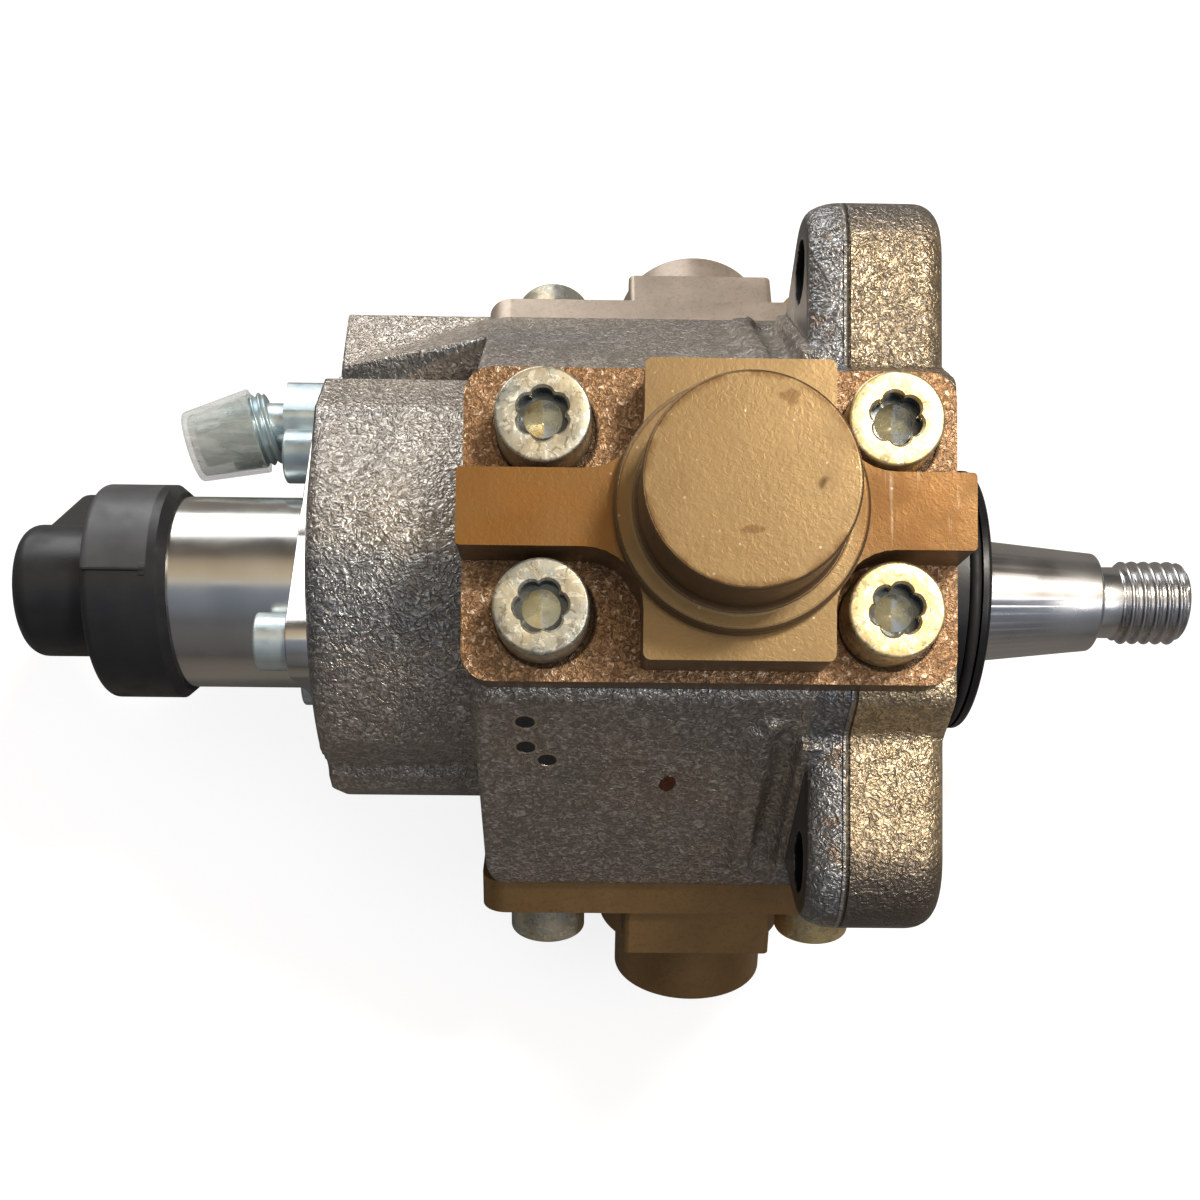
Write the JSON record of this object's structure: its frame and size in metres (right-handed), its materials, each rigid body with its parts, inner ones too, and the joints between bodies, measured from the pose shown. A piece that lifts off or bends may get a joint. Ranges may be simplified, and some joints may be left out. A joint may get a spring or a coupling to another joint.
{
  "type": "diesel injection pump",
  "caption": "Three-cylinder radial high-pressure fuel pump with a cast housing, three forged heads, a tapered drive shaft and a rear fuel metering unit.",
  "frame": {"origin": "centre of the mounting bolt circle, on the drive shaft axis in the plane of the mounting face", "axes": "+X along the drive shaft towards its threaded end, +Z along the axis of cylinder head a, +Y completes the frame"},
  "size_m": [0.195, 0.139, 0.1361],
  "materials": {
    "pump_housing": "rough as cast, lightly oiled",
    "bearing_flange": "black phosphated",
    "pilot_o_ring": "smooth",
    "front_bearing_bush": "bronze, bored",
    "rear_bearing_bush": "bronze, bored",
    "shaft_seal": "moulded",
    "drive_shaft": "ground",
    "polygon_ring": "hardened and ground",
    "ring_bush": "bronze, bored",
    "cylinder_head_a": "forged, machined and oiled, gold-brown",
    "head_bolts_a": "zinc plated, yellow-silver",
    "head_o_ring_a": "smooth",
    "barrel_a": "honed",
    "plunger_a": "lapped",
    "foot_plate_a": "hardened",
    "plunger_spring_a": "spring steel",
    "inlet_valve_a": "lapped",
    "inlet_spring_a": "spring steel",
    "outlet_ball_a": "polished",
    "outlet_spring_a": "spring steel",
    "cylinder_head_b": "forged, machined and oiled, gold-brown",
    "head_bolts_b": "zinc plated, yellow-silver",
    "head_o_ring_b": "smooth",
    "barrel_b": "honed",
    "plunger_b": "lapped",
    "foot_plate_b": "hardened",
    "plunger_spring_b": "spring steel",
    "inlet_valve_b": "lapped",
    "inlet_spring_b": "spring steel",
    "outlet_ball_b": "polished",
    "outlet_spring_b": "spring steel",
    "cylinder_head_c": "forged, machined and oiled, gold-brown",
    "head_bolts_c": "zinc plated, yellow-silver",
    "head_o_ring_c": "smooth",
    "barrel_c": "honed",
    "plunger_c": "lapped",
    "foot_plate_c": "hardened",
    "plunger_spring_c": "spring steel",
    "inlet_valve_c": "lapped",
    "inlet_spring_c": "spring steel",
    "outlet_ball_c": "polished",
    "outlet_spring_c": "spring steel",
    "metering_body": "turned",
    "metering_cover": "moulded black",
    "metering_terminals": "stamped",
    "metering_screws": "zinc plated",
    "metering_o_ring": "smooth",
    "metering_coil": "enamelled copper winding",
    "metering_sleeve": "turned and honed",
    "metering_piston": "lapped",
    "metering_spring": "spring steel",
    "inlet_fitting": "zinc plated",
    "inlet_washer": "bonded seal",
    "inlet_cap": "translucent, moulded",
    "sealing_balls": "polished",
    "outlet_fitting": "zinc plated",
    "overflow_plug": "zinc plated",
    "overflow_piston": "lapped",
    "overflow_spring": "spring steel"
  },
  "bodies": {
    "housing": {"pump_housing": "pump_housing", "bearing_flange": "bearing_flange", "pilot_o_ring": "pilot_o_ring", "front_bearing_bush": "front_bearing_bush", "rear_bearing_bush": "rear_bearing_bush", "shaft_seal": "shaft_seal", "cylinder_head_a": "cylinder_head_a", "head_bolts_a": "head_bolts_a", "head_o_ring_a": "head_o_ring_a", "barrel_a": "barrel_a", "plunger_spring_a": "plunger_spring_a", "inlet_spring_a": "inlet_spring_a", "outlet_spring_a": "outlet_spring_a", "cylinder_head_b": "cylinder_head_b", "head_bolts_b": "head_bolts_b", "head_o_ring_b": "head_o_ring_b", "barrel_b": "barrel_b", "plunger_spring_b": "plunger_spring_b", "inlet_spring_b": "inlet_spring_b", "outlet_spring_b": "outlet_spring_b", "cylinder_head_c": "cylinder_head_c", "head_bolts_c": "head_bolts_c", "head_o_ring_c": "head_o_ring_c", "barrel_c": "barrel_c", "plunger_spring_c": "plunger_spring_c", "inlet_spring_c": "inlet_spring_c", "outlet_spring_c": "outlet_spring_c", "metering_body": "metering_body", "metering_cover": "metering_cover", "metering_terminals": "metering_terminals", "metering_screws": "metering_screws", "metering_o_ring": "metering_o_ring", "metering_coil": "metering_coil", "metering_sleeve": "metering_sleeve", "metering_spring": "metering_spring", "inlet_fitting": "inlet_fitting", "inlet_washer": "inlet_washer", "inlet_cap": "inlet_cap", "sealing_balls": "sealing_balls", "outlet_fitting": "outlet_fitting", "overflow_plug": "overflow_plug", "overflow_spring": "overflow_spring"},
    "shaft": {"drive_shaft": "drive_shaft"},
    "ring": {"polygon_ring": "polygon_ring", "ring_bush": "ring_bush"},
    "plunger_a": {"plunger_a": "plunger_a", "foot_plate_a": "foot_plate_a"},
    "inlet_valve_a": {"inlet_valve_a": "inlet_valve_a"},
    "outlet_ball_a": {"outlet_ball_a": "outlet_ball_a"},
    "plunger_b": {"plunger_b": "plunger_b", "foot_plate_b": "foot_plate_b"},
    "inlet_valve_b": {"inlet_valve_b": "inlet_valve_b"},
    "outlet_ball_b": {"outlet_ball_b": "outlet_ball_b"},
    "plunger_c": {"plunger_c": "plunger_c", "foot_plate_c": "foot_plate_c"},
    "inlet_valve_c": {"inlet_valve_c": "inlet_valve_c"},
    "outlet_ball_c": {"outlet_ball_c": "outlet_ball_c"},
    "metering_piston": {"metering_piston": "metering_piston"},
    "overflow_piston": {"overflow_piston": "overflow_piston"}
  },
  "joints": [
    {"name": "shaft_spin", "type": "hinge", "parent": "housing", "child": "shaft", "pos_m": [0, 0, 0], "axis": [1, 0, 0], "continuous": true},
    {"name": "ring_orbit", "type": "hinge", "parent": "shaft", "child": "ring", "pos_m": [-0.0329, 0, 0.0026], "axis": [1, 0, 0], "continuous": true},
    {"name": "plunger_a_stroke", "type": "slide", "parent": "housing", "child": "plunger_a", "axis": [0, 0, 1], "range_m": [0, 0.0052], "stiffness_N_per_m": 3000, "springref_m": -0.002, "deforming": ["plunger_spring_a"]},
    {"name": "inlet_valve_a_lift", "type": "slide", "parent": "housing", "child": "inlet_valve_a", "axis": [0, 0, 1], "range_m": [0, 0.0008], "stiffness_N_per_m": 300, "springref_m": -0.001, "deforming": ["inlet_spring_a"]},
    {"name": "outlet_ball_a_lift", "type": "slide", "parent": "housing", "child": "outlet_ball_a", "axis": [0, 0, -1], "range_m": [0, 0.0007], "stiffness_N_per_m": 300, "springref_m": -0.001, "deforming": ["outlet_spring_a"]},
    {"name": "plunger_b_stroke", "type": "slide", "parent": "housing", "child": "plunger_b", "axis": [0, 0.866, -0.5], "range_m": [0, 0.0052], "stiffness_N_per_m": 3000, "springref_m": -0.002, "deforming": ["plunger_spring_b"]},
    {"name": "inlet_valve_b_lift", "type": "slide", "parent": "housing", "child": "inlet_valve_b", "axis": [0, 0.866, -0.5], "range_m": [0, 0.0008], "stiffness_N_per_m": 300, "springref_m": -0.001, "deforming": ["inlet_spring_b"]},
    {"name": "outlet_ball_b_lift", "type": "slide", "parent": "housing", "child": "outlet_ball_b", "axis": [0, -0.866, 0.5], "range_m": [0, 0.0007], "stiffness_N_per_m": 300, "springref_m": -0.001, "deforming": ["outlet_spring_b"]},
    {"name": "plunger_c_stroke", "type": "slide", "parent": "housing", "child": "plunger_c", "axis": [0, -0.866, -0.5], "range_m": [0, 0.0052], "stiffness_N_per_m": 3000, "springref_m": -0.002, "deforming": ["plunger_spring_c"]},
    {"name": "inlet_valve_c_lift", "type": "slide", "parent": "housing", "child": "inlet_valve_c", "axis": [0, -0.866, -0.5], "range_m": [0, 0.0008], "stiffness_N_per_m": 300, "springref_m": -0.001, "deforming": ["inlet_spring_c"]},
    {"name": "outlet_ball_c_lift", "type": "slide", "parent": "housing", "child": "outlet_ball_c", "axis": [0, 0.866, 0.5], "range_m": [0, 0.0007], "stiffness_N_per_m": 300, "springref_m": -0.001, "deforming": ["outlet_spring_c"]},
    {"name": "metering_piston_slide", "type": "slide", "parent": "housing", "child": "metering_piston", "axis": [1, 0, 0], "range_m": [0, 0.003], "stiffness_N_per_m": 1000, "springref_m": -0.001, "deforming": ["metering_spring"]},
    {"name": "overflow_piston_slide", "type": "slide", "parent": "housing", "child": "overflow_piston", "axis": [0, 0, -1], "range_m": [0, 0.003], "stiffness_N_per_m": 800, "springref_m": -0.001, "deforming": ["overflow_spring"]}
  ],
  "couplings": [
    {"joint": "ring_orbit", "follows": "shaft_spin", "ratio": -1}
  ]
}
